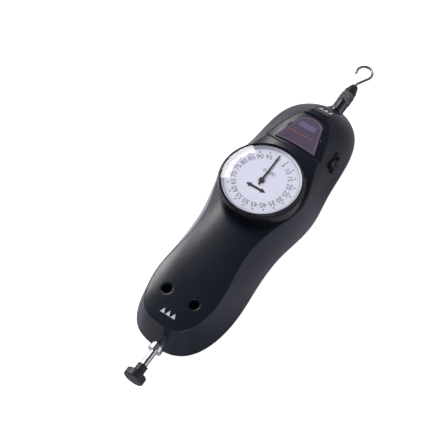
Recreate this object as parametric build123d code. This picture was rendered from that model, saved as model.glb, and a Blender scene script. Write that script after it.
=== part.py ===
from build123d import *
from math import asin, atan2, ceil, cos, degrees, floor, hypot, pi, radians, sin, sqrt, tan
import os

# A mechanical push-pull force gauge, in millimetres.
# It lies on its back: +Z out of the dial, +Y along the rod towards the hook, +X to the right.
# The origin is the centre of the rear mounting holes, on the rear face.

# --- Case: two moulded shells that part on the rod's axis ---------------------------------
body_length = 230.0
rod_height = 20.0
front_height = 50.0
wall = 2.6
dial_y = 12.5

# The outline of each shell is a few stations: half width, and place along Y.
push_end = -body_length / 2
pull_end = body_length / 2
push_corner_half = 18.8
push_corner_back = 5.0
grip_half = 33.2
grip_back = 48.0
waist_half = 31.8
flare_half = 32.1
shoulder_half = 36.8
taper_half = 33.8
pull_corner_half = 19.2
pull_corner_back = 8.8

deck_end_back = 9.0
deck_corner_half = 14.5
deck_corner_back = 12.5
deck_grip_half = 24.0
deck_grip_back = 35.0
deck_waist_half = 20.8
deck_flare_half = 24.8
deck_shoulder_half = 31.4
deck_taper_half = 20.6
deck_ridge_half = 10.6
deck_tail = 12.0
waist_to_dial = 56.0
flare_to_dial = 24.0
shoulder_past_dial = 8.0
taper_past_dial = 35.0
label_end_back = 33.5
ridge_back = 27.0

grip_bulge = 0.3
side_bulge = 2.2
taper_bulge = 5.5
pull_bulge = 7.0
crown = 4.0
rear_draft = 19.0
bilge = 5.0
bilge_power = 3
wall_shares = (0, 0.5)
bilge_shares = (0, 0.4, 0.75, 1)

deck_drop = 5.2
deck_drop_run = 84.0
deck_end_slope = 0.15
ridge_slope = 40.0
label_depth = 1.4
label_start = 40.0
label_bow = 2.3
plate_bow = 1.15

# --- Fits -----------------------------------------------------------------------------------
seat_gap = 0.03
running_gap = 0.05
free_gap = 0.3
stop_gap = 0.1

# --- Measuring rod and what is screwed to its ends ---------------------------------------
rod_d = 5.0
travel = 10.0
bush_d = 10.0
bush_flange_d = 14.0
bush_flange = 2.4
bush_inside = 6.0
push_bush_out = 3.0
pull_bush_out = 7.0

head_gap = 12.5
head_hub_d = 7.6
head_hub = 6.5
head_d = 15.0
head_thick = 5.5
head_edge = 0.6
thread_depth = 6.0

nut_gap = 0.6
nut_chamfer = 0.6
nut_d = 10.5
nut_length = 8.4
holder_d = 9.4
holder_nose_d = 5.4
holder_length = 9.0
holder_neck = 2.0
holder_bite = 4.0

hook_wire = 2.0
hook_shank = 4.0
hook_neck = 3.0
hook_reach = 14.6
hook_shift = 0.4
hook_loop_r = 6.0
hook_tip_angle = 212.0
hook_bend = 4.0

# --- Main spring, its collar and the two blocks on the chassis ---------------------------
rest_block_back = 16.0
block_thick = 6.0
block_half = 8.0
block_rise = 7.0
collar_d = 9.6
collar_length = 5.0
spring_length = 48.0
spring_outer_d = 10.0
spring_wire = 1.4
spring_turns = 8

chassis_z = 9.0
chassis_thick = 2.0
chassis_half = 18.0
chassis_tip_half = 9.0
chassis_tip = 12.0
chassis_margin = 2.0
chassis_post_half = 14.0
chassis_post_d = 6.0
chassis_post_back = 53.0
chassis_post_past = -7.5
chassis_screw_d = 3.0

# --- Movement: rack, gears and plates -------------------------------------------------------
gear_module = 0.5
pinion_teeth = 16
wheel_teeth = 50
wheel_windows = 5
center_teeth = 20
tooth_share = 0.42
tooth_taper = 18.0
addendum = 0.8
dedendum = 1.15

rack_length = 19.0
rack_height = 4.0
rack_screw_inset = 4.0
rack_line = -1.0
rack_thick = 7.0
bracket_half = 6.0
bracket_below = 4.0
bracket_top = 3.4
pinion_gap = 0.5

arbor_d = 2.4
arbor_pivot_d = 1.6
plate_gap = 1.0
plate_thick = 2.0
plate_spacing = 10.0
plate_half = 20.0
plate_before = 34.0
plate_after = 19.0
feet_bite = 5.0
pillar_d = 5.0
pillar_inset = 3.5
wheel_z = 4.4
wheel_thick = 1.2
center_thick = 2.4
hold_wheel_d = 15.0
hold_wheel_z = 1.2
hold_wheel_thick = 1.2

# --- Dial, window and bezel ------------------------------------------------------------------
bezel_d = 61.0
bezel_top_d = 58.4
bezel_wall = 1.7
bezel_grip = 9.6
bezel_lip = 0.5
bezel_lip_height = 0.5
spigot_d = 52.0
spigot_wall = 2.5
spigot_height = 7.0
carrier_flange = 1.6
dial_thick = 0.5
dial_hole_d = 4.0
window_thick = 1.2
window_rise = 0.9
window_flat_d = 43.0
window_ring_height = 1.9
window_ring_wall = 1.4
clip_height = 0.8
clip_depth = 0.7
clip_rise = 3.0

pointer_length = 22.6
pointer_tail = 4.0
pointer_thick = 0.4
pointer_root = 1.5
pointer_tail_half = 0.50
pointer_tip = 0.35
pointer_boss_d = 3.6
pointer_boss = 1.0
pointer_boss_below = 0.3
pointer_gap = 0.3
cap_d = 2.8
cap_height = 0.4

# --- Hold switch in the right-hand wall --------------------------------------------------------
switch_past_dial = 49.9
switch_x = 28.3
switch_z = 41.0
switch_heading = 11.0
switch_lean = 34.0
pocket_length = 17.6
pocket_width = 6.4
pocket_depth = 1.8
switch_wall = 2.0
switch_travel = 5.0
switch_rest = -2.0
knob_length = 7.0
knob_width = 4.6
knob_height = 4.4
knob_round = 0.9
knob_stem = 2.4
knob_ribs = 3
knob_rib = 0.8
slide_length = 15.0
slide_width = 7.0
slide_thick = 1.2
slide_post_thick = 1.4
slide_post_length = 8.0
slide_post_below = 1.6
slide_post_above = 1.8
slide_post_in = 2.6
leaf_thick = 0.6
leaf_height = 2.0
leaf_gap = 0.25
leaf_elbow = 8.5

# --- Name plate, fasteners and mounting holes ----------------------------------------------------------
case_screw_d = 4.0
case_screw_head_d = 6.6
case_screw_chamfer = 0.5
case_screw_head = 3.0
case_screw_well_d = 7.4
case_screw_seat = 9.0
case_screw_bite = 8.0
push_screw_half = 11.0
push_screw_back = 30.0
pull_screw_half = 9.2
pull_screw_back = 48.0
boss_wall = 2.2
plate_screw_d = 2.0
plate_screw_head_d = 3.8
plate_screw_head = 1.4


plate_keystone_low = 16.2
plate_keystone_high = 9.2
plate_keystone_thick = 1.0
plate_keystone_start = 42.2
plate_keystone_margin = 1.2

mount_half_x = 13.0
mount_half_y = 30.0
mount_hole_d = 3.3
insert_d = 6.0
insert_length = 7.0

# --- Levels and places worked out from the sizes above -------------------------------------
depth_to_deck = front_height - rod_height
spigot_r = spigot_d / 2
bezel_r = bezel_d / 2
push_screw_y = push_end + push_screw_back
pull_screw_y = pull_end - pull_screw_back
case_screw_places = [
    (-push_screw_half, push_screw_y),
    (push_screw_half, push_screw_y),
    (-pull_screw_half, pull_screw_y),
    (pull_screw_half, pull_screw_y),
]
case_seat_z = rod_height + case_screw_seat

head_start = push_end - push_bush_out - head_gap
nut_start = pull_end + pull_bush_out + nut_gap
holder_start = nut_start + nut_length
rest_block_start = push_end + rest_block_back
collar_start = rest_block_start + block_thick + stop_gap
spring_block_start = collar_start + collar_length + spring_length

mount_places = [(x, y) for x in (-mount_half_x, mount_half_x) for y in (-mount_half_y, mount_half_y)]
chassis_posts = [
    (side * chassis_post_half, y)
    for side in (-1, 1)
    for y in (push_end + chassis_post_back, dial_y + chassis_post_past)
]
chassis_top = chassis_z + chassis_thick
plate_rear_y = dial_y - plate_before
plate_front_y = dial_y + plate_after
pillar_places = [
    (side * (plate_half - pillar_inset), y)
    for side in (-1, 1)
    for y in (plate_rear_y + pillar_inset, plate_front_y - pillar_inset)
]

pinion_r = gear_module * pinion_teeth / 2
center_distance = gear_module * (wheel_teeth + center_teeth) / 2
drive_x = rack_line - pinion_r
drive_y = dial_y - sqrt(center_distance**2 - drive_x**2)
mesh_angle = degrees(atan2(dial_y - drive_y, -drive_x))
rack_z = rod_height + bracket_top
rack_top = rack_z + rack_height
rack_start = drive_y - travel / 2 - rack_length / 2
rack_screw_x = rack_line + rack_thick - plate_screw_head_d / 2 - stop_gap
rack_screw_places = [rack_start + rack_screw_inset, rack_start + rack_length - rack_screw_inset]
rack_screw_end = rod_height - bracket_below / 2
pinion_z = rack_z + pinion_gap
pinion_height = rack_height

lower_plate_z = rack_top + plate_gap
lower_plate_top = lower_plate_z + plate_thick
upper_plate_z = lower_plate_top + plate_spacing
upper_plate_top = upper_plate_z + plate_thick

bezel_bore = bezel_r - bezel_wall
bezel_opening = bezel_bore - bezel_lip
carrier_top = front_height + spigot_height + free_gap + carrier_flange
dial_top = carrier_top + dial_thick
window_z = dial_top + window_ring_height
window_top = window_z + window_thick
bezel_top = window_top + bezel_lip_height
boss_z = dial_top + pointer_gap
boss_top = boss_z + pointer_boss
pointer_z = boss_z + pointer_boss_below

switch_along = Vector(-sin(radians(switch_heading)), cos(radians(switch_heading)), 0)
switch_level = Vector(cos(radians(switch_heading)), sin(radians(switch_heading)), 0)
switch_out = switch_level * cos(radians(switch_lean)) + Vector(0, 0, sin(radians(switch_lean)))
switch_place = Vector(switch_x, dial_y + switch_past_dial, switch_z)
switch_plane = Plane(origin=switch_place, x_dir=switch_along, z_dir=switch_out)
switch_inside = pocket_depth + switch_wall
slide_middle = switch_place + switch_along * switch_rest - switch_out * (switch_inside + slide_thick)
leaf_x = slide_middle.X - slide_post_in
post_y = slide_middle.Y
leaf_z = lower_plate_top + hold_wheel_z + hold_wheel_thick / 2
post_bottom = leaf_z - slide_post_below
post_top = slide_middle.Z + slide_post_above
post_z = (post_bottom + post_top) / 2
slide_post_height = post_top - post_bottom


# --- Shared shapes -------------------------------------------------------------------------
def rod_cylinder(radius, start, length):
    """A cylinder on the rod's axis, from start towards the hook."""
    disc = Plane(origin=(0, start, rod_height), z_dir=(0, 1, 0)) * Circle(radius)
    return extrude(disc, length)


def upright(radius, bottom, height, x=0.0, y=0.0):
    """A cylinder that stands on the level called bottom."""
    return Pos(x, y, bottom) * Cylinder(radius, height, align=(Align.CENTER, Align.CENTER, Align.MIN))


def ring(outer, inner, bottom, height, x=0.0, y=0.0):
    """A flat ring that stands on the level called bottom."""
    return upright(outer, bottom, height, x, y) - upright(inner, bottom, height, x, y)


def block(x_half, y_start, y_end, bottom, top, x=0.0):
    """A box between two places along the rod and two levels."""
    middle = ((y_start + y_end) / 2, (bottom + top) / 2)
    return Pos(x, middle[0], middle[1]) * Box(2 * x_half, y_end - y_start, top - bottom)


def closed_outline(stations, z):
    """A face whose edge runs through the stations on the right and their mirrors on the left."""
    left = [(-half, y) for half, y in reversed(stations[1:-1])]
    return Pos(0, 0, z) * make_face(Spline(*stations, *left, periodic=True))


# --- The case's form ------------------------------------------------------------------------
def parting_stations():
    """Half widths of the case where its shells meet, from the push end to the pull end."""
    return [
        (0, push_end),
        (push_corner_half, push_end + push_corner_back),
        (grip_half, push_end + grip_back),
        (waist_half, dial_y - waist_to_dial),
        (flare_half, dial_y - flare_to_dial),
        (shoulder_half, dial_y + shoulder_past_dial),
        (taper_half, dial_y + taper_past_dial),
        (pull_corner_half, pull_end - pull_corner_back),
        (0, pull_end),
    ]


def deck_stations():
    """Half widths of the front deck, along the crease where the side walls end."""
    return [
        (0, push_end + deck_end_back),
        (deck_corner_half, push_end + deck_corner_back),
        (deck_grip_half, push_end + deck_grip_back),
        (deck_waist_half, dial_y - waist_to_dial),
        (deck_flare_half, dial_y - flare_to_dial),
        (deck_shoulder_half, dial_y),
        (deck_taper_half, dial_y + taper_past_dial),
        (deck_ridge_half, pull_end - label_end_back),
        (0, pull_end - label_end_back + deck_tail),
    ]


def wall_bulges():
    """How far the side wall swells at each station, half way up to the deck."""
    grip = [0, grip_bulge, grip_bulge]
    return grip + [side_bulge, side_bulge, side_bulge, taper_bulge, pull_bulge, 0]


def front_section(share, inset):
    """The case's section at a share of the way from the parting plane to the deck."""
    stations = []
    for low, high, bulge in zip(parting_stations(), deck_stations(), wall_bulges()):
        half = low[0] + (high[0] - low[0]) * share
        y = low[1] + (high[1] - low[1]) * share
        if half > 0:
            half += bulge * 4 * share * (1 - share) - inset
        shrink = 1 - inset / (body_length / 2)
        stations.append((half, y * shrink))
    return closed_outline(stations, rod_height + share * depth_to_deck)


def rear_section(depth, inset):
    """The case's section at a depth below the parting plane."""
    share = depth / rod_height
    draw_in = depth * tan(radians(rear_draft)) + bilge * share**bilge_power + inset
    shrink = 1 - draw_in / (body_length / 2)
    stations = []
    for half, y in parting_stations():
        if half > 0:
            half -= draw_in
        stations.append((half, y * shrink))
    return closed_outline(stations, rod_height - depth)


def deck_profile(lower):
    """All that lies under the deck, seen from the side and lowered by a wall."""
    level = front_height - lower
    far = body_length
    ridge = pull_end - ridge_back - lower * tan(radians(ridge_slope / 2))
    slope = tan(radians(ridge_slope))
    start = dial_y - bezel_r
    deck = Spline(
        (start, level),
        (start - deck_drop_run, level - deck_drop),
        tangents=[(-1, 0), (-1, -deck_end_slope)],
    )
    tail = deck @ 1
    edge = deck + Polyline(
        tail,
        (-far, tail.Y - deck_end_slope * (far + tail.X)),
        (-far, -far),
        (far, -far),
        (far, level - slope * (far - ridge)),
        (ridge, level),
        (start, level),
    )
    face = Plane.YZ * make_face(edge)
    return extrude(face, far, both=True)


def front_hull(inset, lower):
    """The front half as a solid body, drawn in by inset and lowered by lower."""
    shares = [*wall_shares, 1 + crown / depth_to_deck]
    walls = loft([front_section(share, inset) for share in shares])
    return walls & deck_profile(lower)


def rear_hull(inset, floor):
    """The rear half as a solid body, down to the level called floor."""
    depths = [share * (rod_height - floor) for share in bilge_shares]
    return loft([rear_section(depth, inset) for depth in depths])


# --- Case pieces ----------------------------------------------------------------------------
def label_recess():
    """The cut across the deck that the name plate lies in, with a bowed step at its end."""
    start = dial_y + label_start
    end = pull_end - label_end_back
    side = bezel_r
    bowed = ThreePointArc((side, end - label_bow), (0, end + label_bow), (-side, end - label_bow))
    rest = Polyline(bowed @ 1, (-side, start), (side, start), bowed @ 0)
    face = Pos(0, 0, front_height - label_depth) * make_face(bowed + rest)
    return extrude(face, rod_height)


def on_switch(shape, x, z):
    """A shape put on the switch's plane: x along its travel, z out of the wall."""
    return switch_plane.location * Pos(x, 0, z) * shape


def slot_prism(length, width, height):
    """A round-ended prism that stands on its plane."""
    return extrude(SlotOverall(length, width), height)


def bush_seats():
    """The holes that both shells give the bushes, with a flat seat for each flange."""
    seats = rod_cylinder(bush_d / 2 + seat_gap, -body_length, 2 * body_length)
    flange_r = bush_flange_d / 2 + free_gap
    depth = wall + seat_gap
    seats += rod_cylinder(flange_r, push_end + depth, bush_inside)
    seats += rod_cylinder(flange_r, pull_end - depth - bush_inside, bush_inside)
    return seats


def front_case():
    """Front shell: deck, spigot for the bezel, screw wells, label recess and switch pocket."""
    hull = front_hull(0, 0)
    bosses = Part()
    wells = Part()
    for x, y in case_screw_places:
        bosses += upright(case_screw_well_d / 2 + boss_wall, rod_height, depth_to_deck, x, y)
        wells += upright(case_screw_well_d / 2, case_seat_z, depth_to_deck, x, y)
        wells += upright(case_screw_d / 2 + seat_gap, rod_height, depth_to_deck, x, y)
    pad_size = (pocket_length + 2 * wall, pocket_width + 2 * wall, 2 * switch_inside)
    pad = on_switch(Box(*pad_size), 0, 0)
    body = front_hull(0, 0) - front_hull(wall, wall)
    body += (bosses & hull) + (pad & hull)
    spigot_z = front_height - wall
    body += ring(spigot_r, spigot_r - spigot_wall, spigot_z, wall + spigot_height, 0, dial_y)
    body -= upright(spigot_r - spigot_wall, rod_height, 2 * depth_to_deck, 0, dial_y)
    groove_z = front_height + clip_rise - running_gap
    groove_height = clip_height + 2 * running_gap
    body -= ring(spigot_r + free_gap, spigot_r - clip_depth, groove_z, groove_height, 0, dial_y)
    body -= wells
    body -= label_recess()
    body -= bush_seats()
    body -= on_switch(slot_prism(pocket_length, pocket_width, rod_height), 0, -pocket_depth)
    stem_width = knob_stem + 2 * free_gap
    stem_slot = slot_prism(stem_width + switch_travel, stem_width, 2 * switch_inside)
    body -= on_switch(stem_slot, switch_rest + switch_travel / 2, -2 * switch_inside)
    return body


def rear_case():
    """Rear shell: screw posts, chassis posts and bosses for the threaded inserts."""
    hull = rear_hull(0, 0)
    posts = Part()
    holes = Part()
    for x, y in case_screw_places:
        posts += upright(case_screw_d / 2 + boss_wall, 0, rod_height, x, y)
        depth = case_screw_bite + free_gap
        holes += upright(case_screw_d / 2 + seat_gap, rod_height - depth, depth, x, y)
    for x, y in chassis_posts:
        posts += upright(chassis_post_d / 2, 0, chassis_z, x, y)
        holes += upright(chassis_screw_d / 2 + seat_gap, wall, chassis_z, x, y)
    for x, y in mount_places:
        posts += upright(insert_d / 2 + boss_wall, 0, insert_length + wall / 2, x, y)
        holes += upright(insert_d / 2 + seat_gap, 0, insert_length, x, y)
    body = rear_hull(0, 0) - rear_hull(wall, wall)
    body += posts & hull
    body -= holes
    body -= bush_seats()
    return body


def case_screws():
    """Four pan-head screws that sit deep in the wells of the front shell."""
    screws = Part()
    for x, y in case_screw_places:
        shank = case_screw_seat + case_screw_bite
        head = upright(case_screw_head_d / 2, case_seat_z, case_screw_head, x, y)
        head = chamfer(head.edges().group_by(Axis.Z)[-1], case_screw_chamfer)
        screws += head + upright(case_screw_d / 2, case_seat_z - shank, shank, x, y)
    return screws


def rear_inserts():
    """Four threaded brass inserts, open on the rear face."""
    inserts = Part()
    for x, y in mount_places:
        inserts += ring(insert_d / 2, mount_hole_d / 2, 0, insert_length, x, y)
    return inserts


def name_plate():
    """Keystone plate in the label recess, with bowed ends."""
    start = dial_y + plate_keystone_start
    end = pull_end - label_end_back - plate_keystone_margin
    low = plate_keystone_low
    high = plate_keystone_high
    top = ThreePointArc((high, end - label_bow), (0, end + plate_bow), (-high, end - label_bow))
    bottom = ThreePointArc((-low, start), (0, start + plate_bow), (low, start))
    edge = top + Line(top @ 1, bottom @ 0) + bottom + Line(bottom @ 1, top @ 0)
    return extrude(Pos(0, 0, front_height - label_depth) * make_face(edge), plate_keystone_thick)


def guide_bush(end, out, side):
    """Chromed bush at one end of the case; side is the way out of the case along Y."""
    inner = end - side * bush_inside
    outer = end + side * out
    flange = end - side * (wall + 2 * seat_gap)
    body = rod_cylinder(bush_d / 2, min(inner, outer), abs(outer - inner))
    body += rod_cylinder(bush_flange_d / 2, min(flange, flange - side * bush_flange), bush_flange)
    return body - rod_cylinder(rod_d / 2 + running_gap, min(inner, outer), abs(outer - inner))


# --- Rod and its ends -----------------------------------------------------------------------
def measuring_rod():
    """Ground steel rod from the flat head to the hook holder."""
    start = head_start - thread_depth
    end = holder_start + holder_bite
    return rod_cylinder(rod_d / 2, start, end - start)


def flat_head():
    """Flat push head with its hub, screwed onto the rod."""
    front = head_start - head_hub - head_thick
    disc = rod_cylinder(head_d / 2, front, head_thick)
    disc = chamfer(disc.edges(), head_edge)
    hub = rod_cylinder(head_hub_d / 2, head_start - head_hub, head_hub)
    return disc + hub - rod_cylinder(rod_d / 2 + seat_gap, head_start - thread_depth, thread_depth)


def lock_nut():
    """Round nut that locks the hook holder on the rod."""
    body = rod_cylinder(nut_d / 2, nut_start, nut_length)
    body = chamfer(body.edges(), nut_chamfer)
    return body - rod_cylinder(rod_d / 2 + seat_gap, nut_start, nut_length)


def hook_holder():
    """Tapered nose that carries the hook's shank."""
    wide = holder_d / 2
    narrow = holder_nose_d / 2
    profile = Polyline(
        (0, holder_start),
        (wide, holder_start),
        (wide, holder_start + holder_length - holder_neck - hook_shank),
        (narrow, holder_start + holder_length),
        (0, holder_start + holder_length),
        (0, holder_start),
    )
    nose = revolve(Pos(0, 0, rod_height) * make_face(profile), Axis((0, 0, rod_height), (0, 1, 0)))
    nose -= rod_cylinder(rod_d / 2 + seat_gap, holder_start, holder_bite)
    end = holder_start + holder_length
    return nose - rod_cylinder(hook_wire / 2 + seat_gap, end - hook_shank, hook_shank)


def hook():
    """Round-wire hook: shank, slanted neck, and an open loop that turns back to the left."""
    end = holder_start + holder_length
    neck = (0, end + hook_neck)
    middle = (-hook_shift, end + hook_reach)
    reach = hypot(middle[0] - neck[0], middle[1] - neck[1])
    run = sqrt(reach**2 - hook_loop_r**2)
    aim = degrees(atan2(middle[1] - neck[1], middle[0] - neck[0]) - asin(hook_loop_r / reach))
    touch = (neck[0] + run * cos(radians(aim)), neck[1] + run * sin(radians(aim)))
    neck_path = FilletPolyline((0, end - hook_shank), neck, touch, radius=hook_bend)
    loop = CenterArc(middle, hook_loop_r, aim - 90, hook_tip_angle - (aim - 90))
    path = Pos(0, 0, rod_height) * (neck_path + loop)
    start = Plane(origin=(0, end - hook_shank, rod_height), z_dir=(0, 1, 0))
    return sweep(start * Circle(hook_wire / 2), path=path)


# --- Spring and chassis ---------------------------------------------------------------------
def chassis():
    """Steel plate under the rod that carries the blocks and the movement."""
    start = rest_block_start - chassis_margin
    end = plate_front_y + chassis_margin
    outline = Polyline(
        (-chassis_tip_half, start),
        (chassis_tip_half, start),
        (chassis_half, start + chassis_tip),
        (chassis_half, end),
        (-chassis_half, end),
        (-chassis_half, start + chassis_tip),
        (-chassis_tip_half, start),
    )
    plate = extrude(Pos(0, 0, chassis_z) * make_face(outline), chassis_thick)
    for x, y in case_screw_places[:2]:
        plate -= upright(case_screw_d / 2 + boss_wall + free_gap, 0, rod_height, x, y)
    for x, y in chassis_posts:
        plate -= upright(chassis_screw_d / 2 + seat_gap, 0, rod_height, x, y)
    return plate


def chassis_screws():
    """Four screws from the chassis into the rear shell's posts."""
    screws = Part()
    for x, y in chassis_posts:
        screws += upright(chassis_screw_d / 2, wall + free_gap, chassis_top - wall - free_gap, x, y)
        screws += upright(chassis_screw_d, chassis_top, chassis_screw_d / 2, x, y)
    return screws


def spring_block(start):
    """Block on the chassis that the rod passes through with room to spare."""
    top = rod_height + block_rise
    body = block(block_half, start, start + block_thick, chassis_top, top)
    body = fillet(body.edges().filter_by(Axis.Y).group_by(Axis.Z)[-1], block_rise / 2)
    return body - rod_cylinder(rod_d / 2 + free_gap, start, block_thick)


def spring_collar():
    """Collar fixed on the rod; it rests on the rest block and drives the spring."""
    body = rod_cylinder(collar_d / 2, collar_start, collar_length)
    return body - rod_cylinder(rod_d / 2 + seat_gap, collar_start, collar_length)


def main_spring():
    """Flat-wire compression spring between the collar and the spring block."""
    height = spring_length - spring_wire
    radius = (spring_outer_d - spring_wire) / 2
    path = Helix(pitch=height / spring_turns, height=height, radius=radius)
    wire_plane = Plane(origin=path @ 0, z_dir=path % 0, x_dir=(1, 0, 0))
    wire = wire_plane * Rectangle(spring_wire, spring_wire)
    coil = sweep(wire, path=path, is_frenet=True)
    start = collar_start + collar_length + spring_wire / 2
    return Plane(origin=(0, start, rod_height), z_dir=(0, 1, 0), x_dir=(1, 0, 0)).location * coil


# --- Rack and gears ---------------------------------------------------------------------------
def tooth_half(level):
    """Half thickness of a tooth at a level above the pitch line."""
    return tooth_share * pi * gear_module / 2 - level * tan(radians(tooth_taper))


def gear(teeth, phase, bottom, height, x, y):
    """A spur gear whose first tooth points at the angle called phase."""
    pitch_r = gear_module * teeth / 2
    root = -dedendum * gear_module
    tip = addendum * gear_module
    points = []
    for number in range(teeth):
        middle = radians(phase) + 2 * pi * number / teeth
        for level, side in ((root, -1), (tip, -1), (tip, 1), (root, 1)):
            angle = middle + side * tooth_half(level) / pitch_r
            radius = pitch_r + level
            points.append((radius * cos(angle), radius * sin(angle)))
    outline = Polyline(*points, points[0])
    return Pos(x, y, bottom) * extrude(make_face(outline), height)


def rack():
    """Toothed bar on the rod's bracket; its teeth face the pinion."""
    pitch = pi * gear_module
    root = rack_line + dedendum * gear_module
    tip = rack_line - addendum * gear_module
    start = rack_start
    end = rack_start + rack_length
    back = rack_line + rack_thick
    points = []
    first = ceil((start - drive_y) / pitch + tooth_share)
    last = floor((end - drive_y) / pitch - tooth_share)
    for number in range(first, last + 1):
        middle = drive_y + number * pitch
        low = tooth_half(-dedendum * gear_module)
        high = tooth_half(addendum * gear_module)
        points += [(root, middle - low), (tip, middle - high)]
        points += [(tip, middle + high), (root, middle + low)]
    outline = Polyline((back, start), (root, start), *points, (root, end), (back, end), (back, start))
    bar = extrude(Pos(0, 0, rack_z) * make_face(outline), rack_height)
    for y in rack_screw_places:
        head_z = rack_top - plate_screw_head
        bar -= upright(plate_screw_d / 2 + seat_gap, rack_z, rack_height, rack_screw_x, y)
        bar -= upright(plate_screw_head_d / 2 + seat_gap, head_z, rack_height, rack_screw_x, y)
    return bar


def rack_bracket():
    """Block clamped on the rod, which carries the rack."""
    low = rod_height - bracket_below
    body = block(bracket_half, rack_start, rack_start + rack_length, low, rack_z)
    body -= rod_cylinder(rod_d / 2 + seat_gap, rack_start, rack_length)
    for y in rack_screw_places:
        depth = rack_height + rod_d
        body -= upright(plate_screw_d / 2 + seat_gap, rack_screw_end, depth, rack_screw_x, y)
    return body


def rack_screws():
    """Two screws, flush in the rack."""
    screws = Part()
    for y in rack_screw_places:
        head_z = rack_top - plate_screw_head
        screws += upright(plate_screw_head_d / 2, head_z, plate_screw_head, rack_screw_x, y)
        screws += upright(plate_screw_d / 2, rack_screw_end, head_z - rack_screw_end, rack_screw_x, y)
    return screws


def drive_arbor():
    """Arbor with the pinion that the rack turns."""
    pinion = gear(pinion_teeth, 180 / pinion_teeth, pinion_z, pinion_height, drive_x, drive_y)
    shaft = upright(arbor_d / 2, pinion_z, upper_plate_z - free_gap - pinion_z, drive_x, drive_y)
    pivot = upright(arbor_pivot_d / 2, pinion_z, upper_plate_top + free_gap - pinion_z, drive_x, drive_y)
    return pinion + shaft + pivot


def gear_wheel():
    """Large wheel on the drive arbor, lightened by round windows."""
    bottom = lower_plate_top + wheel_z
    wheel = gear(wheel_teeth, mesh_angle, bottom, wheel_thick, drive_x, drive_y)
    hub_bottom = lower_plate_top + free_gap
    wheel += upright(arbor_d, hub_bottom, bottom + 2 * wheel_thick - hub_bottom, drive_x, drive_y)
    middle_r = (gear_module * wheel_teeth / 2 + arbor_d) / 2
    for number in range(wheel_windows):
        angle = 2 * pi * number / wheel_windows
        x = drive_x + middle_r * cos(angle)
        y = drive_y + middle_r * sin(angle)
        wheel -= upright(arbor_d, bottom, wheel_thick, x, y)
    return wheel - upright(arbor_d / 2 + seat_gap, lower_plate_z, plate_spacing, drive_x, drive_y)


def pointer_arbor():
    """Arbor with the centre pinion; it runs up through the dial to the pointer."""
    bottom = lower_plate_top + wheel_z - (center_thick - wheel_thick) / 2
    pinion = gear(center_teeth, mesh_angle + 180 + 180 / center_teeth, bottom, center_thick, 0, dial_y)
    pivot = upright(arbor_pivot_d / 2, lower_plate_z, boss_top - lower_plate_z, 0, dial_y)
    shoulder = lower_plate_top + free_gap
    shaft = upright(arbor_d / 2, shoulder, boss_z - shoulder, 0, dial_y)
    return pinion + pivot + shaft


def hold_wheel():
    """Plain disc on the pointer arbor, which the hold leaf can brake."""
    bottom = lower_plate_top + hold_wheel_z
    wheel = ring(hold_wheel_d / 2, arbor_d / 2 + seat_gap, bottom, hold_wheel_thick, 0, dial_y)
    collar_z = bottom - hold_wheel_thick
    return wheel + ring(arbor_d, arbor_d / 2 + seat_gap, collar_z, hold_wheel_thick, 0, dial_y)


def movement_plate(bottom, drive_hole, pointer_hole):
    """A plate of the movement with its bearing holes and four screw holes."""
    plate = block(plate_half, plate_rear_y, plate_front_y, bottom, bottom + plate_thick)
    plate = fillet(plate.edges().filter_by(Axis.Z), pillar_inset)
    plate -= upright(drive_hole / 2 + running_gap, bottom, plate_thick, drive_x, drive_y)
    plate -= upright(pointer_hole / 2 + running_gap, bottom, plate_thick, 0, dial_y)
    for x, y in pillar_places:
        plate -= upright(plate_screw_d / 2 + seat_gap, bottom, plate_thick, x, y)
    return plate


def plate_feet():
    """Four feet between the chassis and the lower plate."""
    feet = Part()
    for x, y in pillar_places:
        feet += upright(pillar_d / 2, chassis_top, lower_plate_z - chassis_top, x, y)
        hole_z = lower_plate_z - feet_bite - free_gap
        feet -= upright(plate_screw_d / 2 + seat_gap, hole_z, lower_plate_z - hole_z, x, y)
    return feet


def plate_pillars():
    """Four sleeves that space the movement plates."""
    pillars = Part()
    for x, y in pillar_places:
        pillars += ring(pillar_d / 2, plate_screw_d / 2 + seat_gap, lower_plate_top, plate_spacing, x, y)
    return pillars


def plate_screws():
    """Four long screws through both plates and the sleeves into the feet."""
    screws = Part()
    for x, y in pillar_places:
        end = lower_plate_z - feet_bite
        screws += upright(plate_screw_d / 2, end, upper_plate_top - end, x, y)
        screws += upright(plate_screw_head_d / 2, upper_plate_top, plate_screw_head, x, y)
    return screws


# --- Dial, bezel and pointer -----------------------------------------------------------------
def dial_bezel():
    """Turning ring that carries the window and the dial."""
    low = front_height + free_gap
    grip_top = low + bezel_grip
    top_r = bezel_top_d / 2
    profile = Polyline(
        (bezel_bore, low),
        (bezel_r, low),
        (bezel_r, grip_top),
        (top_r, bezel_top - bezel_lip_height),
        (top_r - bezel_lip_height, bezel_top),
        (bezel_opening, bezel_top),
        (bezel_opening, window_top),
        (bezel_bore, window_top),
        (bezel_bore, low),
    )
    return turned(profile)


def turned(profile):
    """A profile of radius against height, turned about the dial's axis."""
    face = Plane.XZ * make_face(profile)
    return Pos(0, dial_y, 0) * revolve(face, Axis.Z)


def dial_carrier():
    """Ring inside the bezel that runs on the case's spigot and carries the dial."""
    low = front_height + free_gap
    flange = front_height + spigot_height + free_gap
    inner = spigot_r + running_gap
    outer = bezel_bore - seat_gap
    body = ring(outer, inner, low, carrier_top - low, 0, dial_y)
    body += ring(outer, spigot_r - spigot_wall, flange, carrier_top - flange, 0, dial_y)
    groove_z = front_height + clip_rise - running_gap
    groove_height = clip_height + 2 * running_gap
    return body - ring(inner + clip_depth, inner - free_gap, groove_z, groove_height, 0, dial_y)


def bezel_clip():
    """Split wire ring in the spigot's groove, which keeps the bezel on the case."""
    inner = spigot_r - clip_depth + running_gap
    outer = spigot_r + clip_depth - running_gap
    body = ring(outer, inner, front_height + clip_rise, clip_height, 0, dial_y)
    return body - block(clip_depth, dial_y, dial_y + bezel_r, front_height, bezel_top)


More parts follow.
